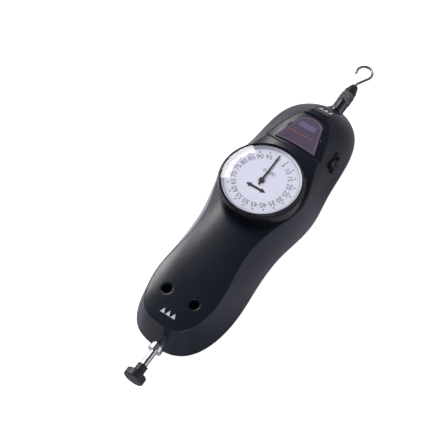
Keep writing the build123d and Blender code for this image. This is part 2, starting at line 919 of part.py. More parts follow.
def dial_face():
    """Thin round dial plate with a hole for the pointer arbor."""
    return ring(bezel_bore - seat_gap, dial_hole_d / 2, carrier_top, dial_thick, 0, dial_y)


def window_ring():
    """Bright ring between the dial and the window."""
    outer = bezel_bore - seat_gap
    return ring(outer, outer - window_ring_wall, dial_top, window_ring_height, 0, dial_y)


def dial_window():
    """Clear crystal over the dial, flat in the middle, with a sloped rim under the bezel's lip."""
    edge = bezel_bore - seat_gap
    profile = Polyline(
        (0, window_z),
        (edge, window_z),
        (edge, window_top),
        (bezel_opening - seat_gap, window_top),
        (window_flat_d / 2, window_top + window_rise),
        (0, window_top + window_rise),
        (0, window_z),
    )
    return turned(profile)


def pointer():
    """Slim needle with a short tail and a boss on the arbor."""
    needle = Polyline(
        (-pointer_tip, dial_y + pointer_length),
        (pointer_tip, dial_y + pointer_length),
        (pointer_root / 2, dial_y),
        (pointer_tail_half, dial_y - pointer_tail),
        (-pointer_tail_half, dial_y - pointer_tail),
        (-pointer_root / 2, dial_y),
        (-pointer_tip, dial_y + pointer_length),
    )
    blade = extrude(Pos(0, 0, pointer_z) * make_face(needle), pointer_thick)
    boss = upright(pointer_boss_d / 2, boss_z, pointer_boss, 0, dial_y)
    return blade + boss - upright(arbor_pivot_d / 2 + seat_gap, boss_z, pointer_boss, 0, dial_y)


def pointer_cap():
    """Small cap over the end of the arbor."""
    return upright(cap_d / 2, boss_top, cap_height, 0, dial_y)


# --- Hold switch -------------------------------------------------------------------------------
def hold_knob():
    """Ribbed thumb piece in the pocket, with a stem through the wall."""
    bottom = -pocket_depth + stop_gap
    body = slot_prism(knob_length, knob_width, knob_height)
    body = fillet(body.edges().group_by(Axis.Z)[-1], knob_round)
    for number in range(knob_ribs):
        place = (number - (knob_ribs - 1) / 2) * 2 * knob_rib
        body -= Pos(place, 0, knob_height) * Box(knob_rib, knob_width, knob_rib)
    stem_length = switch_wall + 2 * stop_gap + slide_thick
    stem = upright(knob_stem / 2, -stem_length, stem_length)
    return on_switch(body, switch_rest, bottom) + on_switch(stem, switch_rest, bottom)


def hold_slide():
    """Plate behind the wall, with a post for the leaf."""
    top = -switch_inside - stop_gap
    plate = slot_prism(slide_length, slide_width, slide_thick)
    plate -= upright(knob_stem / 2 + 2 * seat_gap, 0, slide_thick)
    body = on_switch(plate, switch_rest, top - slide_thick)
    post = Pos(leaf_x + leaf_thick / 2 + slide_post_thick / 2, post_y, post_z)
    body += post * Box(slide_post_thick, slide_post_length, slide_post_height)
    return body


def hold_leaf():
    """Spring leaf from the slide to the rim of the hold wheel."""
    bottom = leaf_z - leaf_height / 2
    tip_y = dial_y + hold_wheel_d / 2 + leaf_gap + leaf_thick / 2
    route = Polyline(
        (leaf_x, post_y + slide_post_length / 2),
        (leaf_x, post_y - slide_post_length / 2),
        (leaf_elbow, plate_front_y - pillar_inset),
        (0, tip_y),
    )
    return extrude(Pos(0, 0, bottom) * trace(route, leaf_thick), leaf_height)


# --- The finished pieces ------------------------------------------------------------------------
pieces = {
    "front_case": front_case(),
    "rear_case": rear_case(),
    "case_screws": case_screws(),
    "rear_inserts": rear_inserts(),
    "name_plate": name_plate(),
    "push_bush": guide_bush(push_end, push_bush_out, -1),
    "pull_bush": guide_bush(pull_end, pull_bush_out, 1),
    "measuring_rod": measuring_rod(),
    "flat_head": flat_head(),
    "lock_nut": lock_nut(),
    "hook_holder": hook_holder(),
    "hook": hook(),
    "chassis": chassis(),
    "chassis_screws": chassis_screws(),
    "rest_block": spring_block(rest_block_start),
    "spring_block": spring_block(spring_block_start),
    "spring_collar": spring_collar(),
    "main_spring": main_spring(),
    "rack": rack(),
    "rack_bracket": rack_bracket(),
    "rack_screws": rack_screws(),
    "drive_arbor": drive_arbor(),
    "gear_wheel": gear_wheel(),
    "pointer_arbor": pointer_arbor(),
    "hold_wheel": hold_wheel(),
    "lower_plate": movement_plate(lower_plate_z, arbor_d, arbor_pivot_d),
    "upper_plate": movement_plate(upper_plate_z, arbor_pivot_d, arbor_d),
    "plate_feet": plate_feet(),
    "plate_pillars": plate_pillars(),
    "plate_screws": plate_screws(),
    "dial_bezel": dial_bezel(),
    "dial_carrier": dial_carrier(),
    "bezel_clip": bezel_clip(),
    "dial_face": dial_face(),
    "window_ring": window_ring(),
    "dial_window": dial_window(),
    "pointer": pointer(),
    "pointer_cap": pointer_cap(),
    "hold_knob": hold_knob(),
    "hold_slide": hold_slide(),
    "hold_leaf": hold_leaf(),
}

os.makedirs("parts", exist_ok=True)
for name, piece in pieces.items():
    export_step(piece, f"parts/{name}.step")
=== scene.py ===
# %% [markdown]
# # A push-pull force gauge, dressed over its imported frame
# The solids of the gauge arrive ready made, in metres, each on the body that it moves with.
# This lesson adds what a modeller adds last: the camera, the light, a finish for every piece,
# and the printed and cut details that solids leave out.

# %% Load the frame
import math

import bpy
import bmesh
from mathutils import Matrix, Vector
from mathutils.bvhtree import BVHTree


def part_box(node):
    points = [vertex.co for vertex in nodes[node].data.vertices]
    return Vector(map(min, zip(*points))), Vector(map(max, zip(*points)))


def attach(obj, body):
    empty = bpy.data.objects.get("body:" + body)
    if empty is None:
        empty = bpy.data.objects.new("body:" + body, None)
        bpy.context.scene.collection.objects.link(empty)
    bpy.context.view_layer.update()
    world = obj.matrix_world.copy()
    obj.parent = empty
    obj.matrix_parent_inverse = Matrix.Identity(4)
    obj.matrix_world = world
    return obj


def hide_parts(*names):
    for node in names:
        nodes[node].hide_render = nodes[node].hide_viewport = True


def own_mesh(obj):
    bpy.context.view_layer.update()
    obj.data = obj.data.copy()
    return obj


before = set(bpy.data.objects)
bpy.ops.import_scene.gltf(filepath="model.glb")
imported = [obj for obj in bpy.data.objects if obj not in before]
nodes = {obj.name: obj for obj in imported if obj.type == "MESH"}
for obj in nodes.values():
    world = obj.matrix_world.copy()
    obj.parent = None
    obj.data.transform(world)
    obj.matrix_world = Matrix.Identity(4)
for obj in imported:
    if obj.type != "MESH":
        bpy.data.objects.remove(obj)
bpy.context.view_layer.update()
mm = 0.001

# %% [markdown]
# ## The camera
# A long lens from above, to the right of the push end. A camera looks along its own -Z, so its
# matrix is built from three directions: right, up, and back along the line of sight. The small
# roll turns right and up about that line.

# %% Camera
camera_distance = 0.900
camera_azimuth = math.radians(33.5)
camera_elevation = math.radians(59.97)
camera_roll = math.radians(-2.87)
orbit_centre = Vector((0, 0, 0.035))
aim_point = Vector((-0.01988, -0.01582, 0.035))
lens_mm = 108.49

away = Vector((
    math.sin(camera_azimuth) * math.cos(camera_elevation),
    -math.cos(camera_azimuth) * math.cos(camera_elevation),
    math.sin(camera_elevation),
))
eye = orbit_centre + away * camera_distance
back = (eye - aim_point).normalized()
level_right = Vector((0, 0, 1)).cross(back).normalized()
level_up = back.cross(level_right)
right = level_right * math.cos(camera_roll) + level_up * math.sin(camera_roll)
up = level_up * math.cos(camera_roll) - level_right * math.sin(camera_roll)

camera_data = bpy.data.cameras.new("camera")
camera_data.lens = lens_mm
camera = bpy.data.objects.new("camera", camera_data)
camera.matrix_world = Matrix.Translation(eye) @ Matrix((right, up, back)).transposed().to_4x4()
bpy.context.collection.objects.link(camera)
bpy.context.scene.camera = camera
print("camera at", [round(v, 3) for v in eye])

# %% [markdown]
# ## Light and ground
# A small studio for a black, glossy object. What a black case shows is mostly what it mirrors, so
# the world matters more than the lamps: it is bright low down, which draws the sloping walls, and
# dim overhead, which keeps the flat deck dark. It is dim again behind the pull end and beyond the
# push end's left corner, where the ends of the case stay dark. A large lamp low on the left shades
# the deck's edge, a narrow one high behind the dial is what the crystal's sloped rim catches, and
# two wide soft ones fill in. The floor is white to the camera and still takes a faint shadow. To
# reflections it carries painted light and shade: its white is darker there, and its glow is painted
# light to the left and painted shade to the right and beyond the ends.

# %% Node helpers
def new_material(name):
    """A material with an empty node tree and its output node."""
    material = bpy.data.materials.new(name)
    material.use_nodes = True
    tree = material.node_tree
    tree.nodes.clear()
    return material, tree, tree.nodes.new("ShaderNodeOutputMaterial")


def add_node(tree, kind, **settings):
    """A shader node with its properties set by name."""
    node = tree.nodes.new(kind)
    for key, value in settings.items():
        setattr(node, key, value)
    return node


def set_inputs(node, values):
    """Give a node's sockets their plain values."""
    for socket, value in values.items():
        node.inputs[socket].default_value = value
    return node


def link(tree, start, start_socket, end, end_socket):
    """Join two nodes of a tree."""
    tree.links.new(start.outputs[start_socket], end.inputs[end_socket])


def faded(tree, source, socket, limits, levels):
    """A value that goes smoothly between two levels as another passes between two limits."""
    fade = set_inputs(add_node(tree, "ShaderNodeMapRange", interpolation_type="SMOOTHSTEP"), {
        "From Min": limits[0], "From Max": limits[1], "To Min": levels[0], "To Max": levels[1]})
    link(tree, source, socket, fade, "Value")
    return fade


def leaning(tree, source, socket, direction):
    """How far a vector points along a direction."""
    lean = add_node(tree, "ShaderNodeVectorMath", operation="DOT_PRODUCT")
    lean.inputs[1].default_value = direction
    link(tree, source, socket, lean, 0)
    return lean


def product(tree, first, second):
    """The product of two nodes' first outputs."""
    times = add_node(tree, "ShaderNodeMath", operation="MULTIPLY")
    link(tree, first, 0, times, 0)
    link(tree, second, 0, times, 1)
    return times


def added(tree, first, second):
    """Two shaders, one on top of the other."""
    both = add_node(tree, "ShaderNodeAddShader")
    link(tree, first, 0, both, 0)
    link(tree, second, 0, both, 1)
    return both


def mixed(tree, factor, socket, first, second):
    """The first shader where a factor is 0 and the second where it is 1."""
    mix = add_node(tree, "ShaderNodeMixShader")
    link(tree, factor, socket, mix, "Fac")
    link(tree, first, 0, mix, 1)
    link(tree, second, 0, mix, 2)
    return mix


# %% Light levels
world_tint = (0.95, 0.95, 1.0, 1)
world_low = 1.0
world_high = 0.12
world_bright_below = 0.25
world_dim_above = 0.80
world_front = (0, -1, 0)
world_back_limits = (-0.9, -0.3)
world_dim_back = 0.30
world_left_corner = (-0.707, -0.707, 0)
world_corner_limits = (0.70, 0.85)
world_dim_corner = 0.30

dial_middle = (0, 0.0125, 0.06)
window_place = (-0.74, 0.16, 0.72)
window_size = (0.35, 0.25)
window_power = 3.2
glint_place = (-0.52, 0.48, 0.82)
glint_size = (0.36, 0.11)
glint_power = 1.6
glint_roll = math.radians(33)
key_place = (-0.98, 0.20, 0.45)
key_size = (0.7, 0.5)
key_power = 1.3
key_tint = (0.97, 0.97, 1.0)
fill_place = (0.75, -0.75, 0.55)
fill_size = (0.6, 0.6)
fill_power = 1.6
fill_tint = (0.96, 0.96, 1.0)

floor_size = 6.0
floor_depth = 0.0002
floor_white = (0.84, 0.84, 0.86, 1)
floor_lift_strength = 0.85
# Painted shade and light on the floor as the case mirrors it: a darker white, and a glow that is
# painted light on the left and painted shade on the right and beyond the ends.
floor_shaded_white = (0.50, 0.50, 0.54, 1)
floor_glow_tint = (0.88, 0.88, 1, 1)
floor_painted_light_left = 1.05
floor_painted_shade_right = 0.25
floor_painted_shade_ends = 0.1
floor_middle_limits = (-0.3, 0.3)
floor_beside_limits = (0.50, 0.85)
full_white = (1, 1, 1, 1)

# %% World
scene = bpy.context.scene
scene.view_settings.view_transform = "Standard"

world = bpy.data.worlds.new("studio")
scene.world = world
world.use_nodes = True
world_tree = world.node_tree
world_tree.nodes.clear()
world_out = world_tree.nodes.new("ShaderNodeOutputWorld")
world_way = add_node(world_tree, "ShaderNodeTexCoord")
world_axes = add_node(world_tree, "ShaderNodeSeparateXYZ")
link(world_tree, world_way, "Generated", world_axes, 0)
world_fade = faded(world_tree, world_axes, "Z",
                   (world_bright_below, world_dim_above), (world_low, world_high))
world_lean = leaning(world_tree, world_way, "Generated", world_front)
world_back_fade = faded(world_tree, world_lean, "Value", world_back_limits, (world_dim_back, 1.0))
world_lean = leaning(world_tree, world_way, "Generated", world_left_corner)
world_corner_fade = faded(world_tree, world_lean, "Value",
                          world_corner_limits, (1.0, world_dim_corner))
world_level = product(world_tree, world_fade,
                      product(world_tree, world_back_fade, world_corner_fade))
world_light = set_inputs(add_node(world_tree, "ShaderNodeBackground"), {"Color": world_tint})
link(world_tree, world_level, 0, world_light, "Strength")
world_seen = set_inputs(add_node(world_tree, "ShaderNodeBackground"), {
    "Color": full_white, "Strength": 1.0})
world_path = add_node(world_tree, "ShaderNodeLightPath")
world_mix = mixed(world_tree, world_path, "Is Camera Ray", world_light, world_seen)
link(world_tree, world_mix, 0, world_out, "Surface")
print("world strength", world_low, "low down,", world_high, "overhead")


# %% Lamps
def soft_lamp(name, place, size, power, tint=(1, 1, 1), roll=0.0):
    """A rectangular area lamp that faces the dial, turned by roll about that line."""
    data = bpy.data.lights.new(name, "AREA")
    data.shape = "RECTANGLE"
    data.size, data.size_y = size
    data.energy = power
    data.color = tint
    lamp = bpy.data.objects.new(name, data)
    facing = (Vector(place) - Vector(dial_middle)).to_track_quat("Z", "Y").to_matrix().to_4x4()
    lamp.matrix_world = Matrix.Translation(place) @ facing @ Matrix.Rotation(roll, 4, "Z")
    bpy.context.collection.objects.link(lamp)
    return lamp


soft_lamp("window", window_place, window_size, window_power)
soft_lamp("glint", glint_place, glint_size, glint_power, roll=glint_roll)
soft_lamp("key_left", key_place, key_size, key_power, key_tint)
soft_lamp("fill_right", fill_place, fill_size, fill_power, fill_tint)

# %% Floor
half_floor = floor_size / 2
corners = [(x * half_floor, y * half_floor, 0) for x, y in ((-1, -1), (1, -1), (1, 1), (-1, 1))]
floor_mesh = bpy.data.meshes.new("floor")
floor_mesh.from_pydata(corners, [], [(0, 1, 2, 3)])
floor = bpy.data.objects.new("floor", floor_mesh)
bpy.context.collection.objects.link(floor)
floor.location.z = -floor_depth

floor_paint, tree, out = new_material("floor_white")
floor_diffuse = set_inputs(add_node(tree, "ShaderNodeBsdfDiffuse"), {"Color": floor_white})
floor_lift = set_inputs(add_node(tree, "ShaderNodeEmission"), {
    "Color": full_white, "Strength": floor_lift_strength})
# Painted light and shade for reflections: the mirrored floor is a darker copy of its white, with a
# glow bright to the left and dim to the right and beyond the ends.
floor_spot = add_node(tree, "ShaderNodeTexCoord")
floor_way = add_node(tree, "ShaderNodeVectorMath", operation="NORMALIZE")
link(tree, floor_spot, "Object", floor_way, 0)
floor_left = leaning(tree, floor_way, "Vector", (-1, 0, 0))
floor_side_fade = faded(tree, floor_left, "Value",
                        floor_middle_limits, (floor_painted_shade_right, floor_painted_light_left))
floor_across = add_node(tree, "ShaderNodeMath", operation="ABSOLUTE")
link(tree, floor_left, "Value", floor_across, 0)
floor_end_fade = faded(tree, floor_across, 0, floor_beside_limits, (floor_painted_shade_ends, 1.0))
floor_glow = set_inputs(add_node(tree, "ShaderNodeEmission"), {"Color": floor_glow_tint})
link(tree, product(tree, floor_side_fade, floor_end_fade), 0, floor_glow, "Strength")
floor_shaded = set_inputs(add_node(tree, "ShaderNodeBsdfDiffuse"), {"Color": floor_shaded_white})
floor_path = add_node(tree, "ShaderNodeLightPath")
floor_mirrored = add_node(tree, "ShaderNodeMath", operation="MAXIMUM")
link(tree, floor_path, "Is Glossy Ray", floor_mirrored, 0)
link(tree, floor_path, "Is Transmission Ray", floor_mirrored, 1)
floor_direct = mixed(tree, floor_path, "Is Camera Ray",
                     floor_diffuse, added(tree, floor_diffuse, floor_lift))
floor_mix = mixed(tree, floor_mirrored, 0, floor_direct, added(tree, floor_shaded, floor_glow))
link(tree, floor_mix, 0, out, "Surface")
floor_mesh.materials.append(floor_paint)

# %% [markdown]
# ## Finishes
# Every finish starts from one Principled shader. Fine grain comes from noise on object
# coordinates, which stay with the piece in every view.

# %% Finish helper
crown_fall = 2200.0
cloud_scale = 60.0
cloud_detail = 3.0
cloud_limits = (0.3, 0.7)
grain_detail = 2.0
grain_depth = 0.05 * mm
edge_samples = 8


def finish(name, color, roughness, metallic=0.0, grain=0.0, grain_scale=900.0, stretch=(1, 1, 1),
           mottle=0.08, soften=0.0, crown_radius=0.0, **extra):
    """A paint, plastic or metal with a fine grain and uneven gloss.

    soften rounds its edges. crown_radius bows flat faces across the piece, and they fall away
    faster towards the sides.
    """
    material, tree, out = new_material(name)
    shader = add_node(tree, "ShaderNodeBsdfPrincipled")
    set_inputs(shader, {"Base Color": (*color, 1), "Metallic": metallic, **extra})
    place = add_node(tree, "ShaderNodeTexCoord")
    drawn = set_inputs(add_node(tree, "ShaderNodeMapping"), {"Scale": stretch})
    cloud = set_inputs(add_node(tree, "ShaderNodeTexNoise"), {
        "Scale": cloud_scale, "Detail": cloud_detail})
    spread = set_inputs(add_node(tree, "ShaderNodeMapRange"), {
        "From Min": cloud_limits[0], "From Max": cloud_limits[1],
        "To Min": roughness * (1 - mottle), "To Max": roughness * (1 + mottle)})
    link(tree, place, "Object", drawn, "Vector")
    link(tree, drawn, "Vector", cloud, "Vector")
    link(tree, cloud, "Fac", spread, "Value")
    link(tree, spread, "Result", shader, "Roughness")
    speck = set_inputs(add_node(tree, "ShaderNodeTexNoise"), {
        "Scale": grain_scale, "Detail": grain_detail})
    bump = set_inputs(add_node(tree, "ShaderNodeBump"), {
        "Strength": grain, "Distance": grain_depth})
    link(tree, drawn, "Vector", speck, "Vector")
    link(tree, speck, "Fac", bump, "Height")
    if soften > 0:
        edge = add_node(tree, "ShaderNodeBevel", samples=edge_samples)
        edge.inputs["Radius"].default_value = soften
        link(tree, edge, "Normal", bump, "Normal")
    if crown_radius > 0:
        axes = add_node(tree, "ShaderNodeSeparateXYZ")
        square = add_node(tree, "ShaderNodeMath", operation="MULTIPLY")
        steeper = add_node(tree, "ShaderNodeMath", operation="MULTIPLY_ADD")
        steeper.inputs[1].default_value = -crown_fall
        steeper.inputs[2].default_value = -0.5 / crown_radius
        sagitta = add_node(tree, "ShaderNodeMath", operation="MULTIPLY")
        bow = set_inputs(add_node(tree, "ShaderNodeBump"), {"Strength": 1.0, "Distance": 1.0})
        link(tree, place, "Object", axes, 0)
        link(tree, axes, "X", square, 0)
        link(tree, axes, "X", square, 1)
        link(tree, square, 0, steeper, 0)
        link(tree, square, 0, sagitta, 0)
        link(tree, steeper, 0, sagitta, 1)
        link(tree, sagitta, 0, bow, "Height")
        if soften > 0:
            link(tree, edge, "Normal", bow, "Normal")
        link(tree, bow, "Normal", bump, "Normal")
    link(tree, bump, "Normal", shader, "Normal")
    link(tree, shader, "BSDF", out, "Surface")
    return material


def dress(material, *names):
    """Give CAD nodes a finish."""
    for name in names:
        mesh = nodes[name].data
        mesh.materials.clear()
        mesh.materials.append(material)


# %% Paints, plastics and metals
case_color = (0.009, 0.012, 0.023)
case_black = finish("case_black", case_color, 0.25, grain=0.12, soften=0.002, crown_radius=0.16)
rear_black = finish("rear_black", case_color, 0.25, grain=0.12, soften=0.001)
bezel_black = finish("bezel_black", (0.006, 0.006, 0.010), 0.12, grain=0.03, soften=0.0004,
                     **{"Specular IOR Level": 0.35})
moulded_black = finish("moulded_black", (0.02, 0.02, 0.022), 0.5, grain=0.4)
black_oxide = finish("black_oxide", (0.020, 0.020, 0.025), 0.40, grain=0.3,
                     stretch=(1, 6, 1), soften=0.0003)
dial_white = finish("dial_white", (0.76, 0.76, 0.90), 0.55, grain=0.1)
plum_gloss = finish("plum_gloss", (0.145, 0.105, 0.170), 0.12, grain=0.04)
ink_black = finish("ink_black", (0.012, 0.012, 0.015), 0.5, grain=0.1)
figure_grey = finish("figure_grey", (0.07, 0.07, 0.09), 0.5, grain=0.1)
plate_field_lilac = finish("plate_field_lilac", (0.20, 0.18, 0.34), 0.25, grain=0.1)
plate_line_grey = finish("plate_line_grey", (0.30, 0.26, 0.34), 0.25, grain=0.1)
mark_white = finish("mark_white", (0.80, 0.80, 0.84), 0.5, grain=0.2)
amber_print = finish("amber_print", (0.50, 0.22, 0.06), 0.4, grain=0.2)
chrome = finish("chrome", (0.80, 0.80, 0.84), 0.10, metallic=1.0, grain=0.03)
hook_steel = finish("hook_steel", (0.30, 0.30, 0.33), 0.22, metallic=1.0, grain=0.1)
nut_steel = finish("nut_steel", (0.22, 0.23, 0.23), 0.30, metallic=1.0, grain=0.1)
dark_steel = finish("dark_steel", (0.12, 0.12, 0.14), 0.22, metallic=1.0, grain=0.1)
ground_steel = finish("ground_steel", (0.66, 0.66, 0.69), 0.18, metallic=1.0, grain=0.15,
                      stretch=(1, 8, 1))
zinc_screw = finish("zinc_screw", (0.36, 0.37, 0.39), 0.35, metallic=1.0, grain=0.1)
brass = finish("brass", (0.70, 0.52, 0.24), 0.28, metallic=1.0, grain=0.1)
machined_aluminium = finish("machined_aluminium", (0.68, 0.69, 0.70), 0.35, metallic=1.0,
                            grain=0.2, stretch=(1, 8, 1))

dress(case_black, "front_case")
dress(rear_black, "rear_case")
dress(bezel_black, "dial_bezel")
dress(moulded_black, "dial_carrier", "hold_knob", "hold_slide")
dress(black_oxide, "flat_head", "hook_holder")
dress(dial_white, "dial_face")
dress(plum_gloss, "name_plate")
dress(ink_black, "pointer", "pointer_cap")
dress(chrome, "push_bush", "window_ring")
dress(dark_steel, "pull_bush")
dress(hook_steel, "hook")
dress(nut_steel, "lock_nut")
dress(ground_steel, "measuring_rod", "main_spring", "spring_collar", "bezel_clip", "hold_leaf")
dress(ground_steel, "drive_arbor", "pointer_arbor")
dress(zinc_screw, "case_screws", "chassis_screws", "plate_screws", "rack_screws")
dress(brass, "rear_inserts", "rack", "gear_wheel", "hold_wheel")
dress(brass, "lower_plate", "upper_plate", "plate_pillars")
dress(machined_aluminium, "chassis", "rest_block", "spring_block", "rack_bracket", "plate_feet")

# %% Clear window
window_clear, tree, out = new_material("window_clear")
glass = set_inputs(add_node(tree, "ShaderNodeBsdfPrincipled"), {
    "Base Color": full_white, "Roughness": 0.02, "IOR": 1.49, "Transmission Weight": 1.0})
clear = add_node(tree, "ShaderNodeBsdfTransparent")
window_path = add_node(tree, "ShaderNodeLightPath")
window_mix = mixed(tree, window_path, "Is Shadow Ray", glass, clear)
link(tree, window_mix, 0, out, "Surface")
dress(window_clear, "dial_window")

# %% [markdown]
# ## Print on the dial
# A gauge's dial is printed: a fine line for every unit, a heavier one for every fifth, and a
# figure at each of those. Lines that repeat round a circle are a job for Geometry Nodes, because
# the count, length and width stay numbers that can be changed. The figures are text, turned into
# mesh first and then placed, with their tops outwards.

# %% Tree helpers
def new_tree(name, sizes):
    """A Geometry Nodes tree with one named input for each size, and its two end nodes."""
    tree = bpy.data.node_groups.new(name, "GeometryNodeTree")
    for title, value in sizes.items():
        kind = "NodeSocketInt" if isinstance(value, int) else "NodeSocketFloat"
        tree.interface.new_socket(title, in_out="INPUT", socket_type=kind)
    tree.interface.new_socket("Geometry", in_out="OUTPUT", socket_type="NodeSocketGeometry")
    return tree, tree.nodes.new("NodeGroupInput"), tree.nodes.new("NodeGroupOutput")


def close_tree(tree, last, out, material):
    """End a tree in real geometry with its material."""
    real = tree.nodes.new("GeometryNodeRealizeInstances")
    painted = tree.nodes.new("GeometryNodeSetMaterial")
    painted.inputs["Material"].default_value = material
    link(tree, last, 0, real, 0)
    link(tree, real, 0, painted, "Geometry")
    link(tree, painted, 0, out, 0)


def show(mesh_object):
    """Put an object in the scene."""
    bpy.context.collection.objects.link(mesh_object)
    return mesh_object


def plain_copy(source):
    """The evaluated shape of an object as a mesh of its own."""
    graph = bpy.context.evaluated_depsgraph_get()
    return bpy.data.meshes.new_from_object(source.evaluated_get(graph))


def grown(name, tree, sizes):
    """Run a tree once and keep what it makes as a plain mesh object."""
    piece = bpy.data.objects.new(name, bpy.data.meshes.new(name))
    modifier = piece.modifiers.new("tree", "NODES")
    modifier.node_group = tree
    for title, value in sizes.items():
        modifier[tree.interface.items_tree[title].identifier] = value
    show(piece)
    mesh = plain_copy(piece)
    piece.modifiers.clear()
    piece.data = mesh
    print(name, len(mesh.vertices), "points")
    return piece


# %% Lines round the dial
dial_centre = Vector((0, 0.0125, 0))
dial_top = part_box("dial_face")[1][2]
print_height = 0.03 * mm
tick_sizes = {
    "Fine Count": 100, "Fine Length": 1.3 * mm, "Fine Width": 0.14 * mm, "Fine Radius": 25.4 * mm,
    "Coarse Count": 20, "Coarse Length": 1.3 * mm, "Coarse Width": 0.75 * mm,
    "Coarse Radius": 23.4 * mm,
    "Height": print_height,
}
tick_tree, tick_in, tick_out = new_tree("dial_lines", tick_sizes)
tick_join = tick_tree.nodes.new("GeometryNodeJoinGeometry")


def ring_of_bars(tree, group_in, kind, join):
    """Bars of one kind standing on a circle, their outer ends on it."""
    words = ("Count", "Length", "Width", "Radius")
    count, length, width, radius = (f"{kind} {word}" for word in words)
    circle = tree.nodes.new("GeometryNodeMeshCircle")
    bar_size = tree.nodes.new("ShaderNodeCombineXYZ")
    bar = tree.nodes.new("GeometryNodeMeshCube")
    half = add_node(tree, "ShaderNodeMath", operation="MULTIPLY")
    half.inputs[1].default_value = -0.5
    shift = tree.nodes.new("ShaderNodeCombineXYZ")
    moved = tree.nodes.new("GeometryNodeTransform")
    number = tree.nodes.new("GeometryNodeInputIndex")
    step = add_node(tree, "ShaderNodeMath", operation="DIVIDE")
    step.inputs[0].default_value = math.tau
    angle = add_node(tree, "ShaderNodeMath", operation="MULTIPLY")
    turn = tree.nodes.new("ShaderNodeCombineXYZ")
    stand = tree.nodes.new("GeometryNodeInstanceOnPoints")
    link(tree, group_in, count, circle, "Vertices")
    link(tree, group_in, radius, circle, "Radius")
    link(tree, group_in, length, bar_size, "X")
    link(tree, group_in, width, bar_size, "Y")
    link(tree, group_in, "Height", bar_size, "Z")
    link(tree, bar_size, 0, bar, "Size")
    link(tree, group_in, length, half, 0)
    link(tree, half, 0, shift, "X")
    link(tree, bar, 0, moved, "Geometry")
    link(tree, shift, 0, moved, "Translation")
    link(tree, group_in, count, step, 1)
    link(tree, number, 0, angle, 0)
    link(tree, step, 0, angle, 1)
    link(tree, angle, 0, turn, "Z")
    link(tree, circle, 0, stand, "Points")
    link(tree, moved, 0, stand, "Instance")
    link(tree, turn, 0, stand, "Rotation")
    link(tree, stand, 0, join, 0)


ring_of_bars(tick_tree, tick_in, "Fine", tick_join)
ring_of_bars(tick_tree, tick_in, "Coarse", tick_join)
close_tree(tick_tree, tick_join, tick_out, ink_black)
dial_lines = grown("dial_lines", tick_tree, tick_sizes)
dial_lines_place = dial_centre + Vector((0, 0, dial_top + print_height / 2))
dial_lines.data.transform(Matrix.Translation(dial_lines_place))
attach(dial_lines, "dial")

# %% Figures on the dial
figure_radius = 19.4 * mm
figure_size = 5.0 * mm
figure_step = 5
figure_count = 20


def text_mesh(words, size, height):
    """Words as a closed mesh, centred on the origin and standing on it."""
    curve = bpy.data.curves.new("words", "FONT")
    curve.body = words
    curve.size = size
    curve.extrude = height / 2
    writing = show(bpy.data.objects.new("words", curve))
    mesh = plain_copy(writing)
    bpy.data.objects.remove(writing)
    middle_x = sum(f(v.co.x for v in mesh.vertices) for f in (min, max)) / 2
    middle_y = sum(f(v.co.y for v in mesh.vertices) for f in (min, max)) / 2
    mesh.transform(Matrix.Translation((-middle_x, -middle_y, height / 2)))
    return mesh


def piece_from(name, meshes, material):
    """One object from several placed meshes, with its doubles merged."""
    shape = bmesh.new()
    for mesh in meshes:
        shape.from_mesh(mesh)
    bmesh.ops.remove_doubles(shape, verts=shape.verts, dist=1e-7)
    bmesh.ops.recalc_face_normals(shape, faces=shape.faces)
    joined = bpy.data.meshes.new(name)
    shape.to_mesh(joined)
    shape.free()
    joined.materials.append(material)
    print(name, len(joined.vertices), "points")
    return show(bpy.data.objects.new(name, joined))


def skin(name, loops, closed=True):
    """Faces between loops of points; closed joins the last loop to the first, or each is filled."""
    shape = bmesh.new()
    rings = [[shape.verts.new(point) for point in loop] for loop in loops]
    for ring, following in zip(rings, rings[1:] + rings[:1] if closed else rings[1:]):
        for i in range(len(ring)):
            j = (i + 1) % len(ring)
            shape.faces.new((ring[i], following[i], following[j], ring[j]))
    if not closed:
        shape.faces.new(rings[0])
        shape.faces.new(rings[-1][::-1])
    mesh = bpy.data.meshes.new(name)
    shape.to_mesh(mesh)
    shape.free()
    return mesh


def round_loop(radius, columns):
    """Points of a circle in a plane."""
    return [(radius * math.cos(math.tau * i / columns), radius * math.sin(math.tau * i / columns))
            for i in range(columns)]


figures = []
for number in range(figure_count):
    turn = -math.tau * number / figure_count
    figure = text_mesh(str(number * figure_step), figure_size, print_height)
    out_to_place = Matrix.Rotation(turn, 4, "Z") @ Matrix.Translation((0, figure_radius, 0))
    figure.transform(Matrix.Translation(dial_centre + Vector((0, 0, dial_top))) @ out_to_place)
    figures.append(figure)

# %% The two marks in the middle of the dial
range_size = 4.0 * mm
range_place = dial_centre + Vector((0.8 * mm, 8.2 * mm, dial_top))
range_words = text_mesh("0-100", range_size, print_height)
range_words.transform(Matrix.Translation(range_place))
figures.append(range_words)
dial_figures = piece_from("dial_figures", figures, figure_grey)
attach(dial_figures, "dial")


def raised(outlines, height):
    """Flat outlines as closed plates, standing on z = 0."""
    shape = bmesh.new()
    for outline in outlines:
        low = [shape.verts.new((x, y, 0)) for x, y in outline]
        high = [shape.verts.new((x, y, height)) for x, y in outline]
        shape.faces.new(low[::-1])
        shape.faces.new(high)
        for i in range(len(outline)):
            j = (i + 1) % len(outline)
            shape.faces.new((low[i], low[j], high[j], high[i]))
    mesh = bpy.data.meshes.new("plates")
    shape.to_mesh(mesh)
    shape.free()
    return mesh


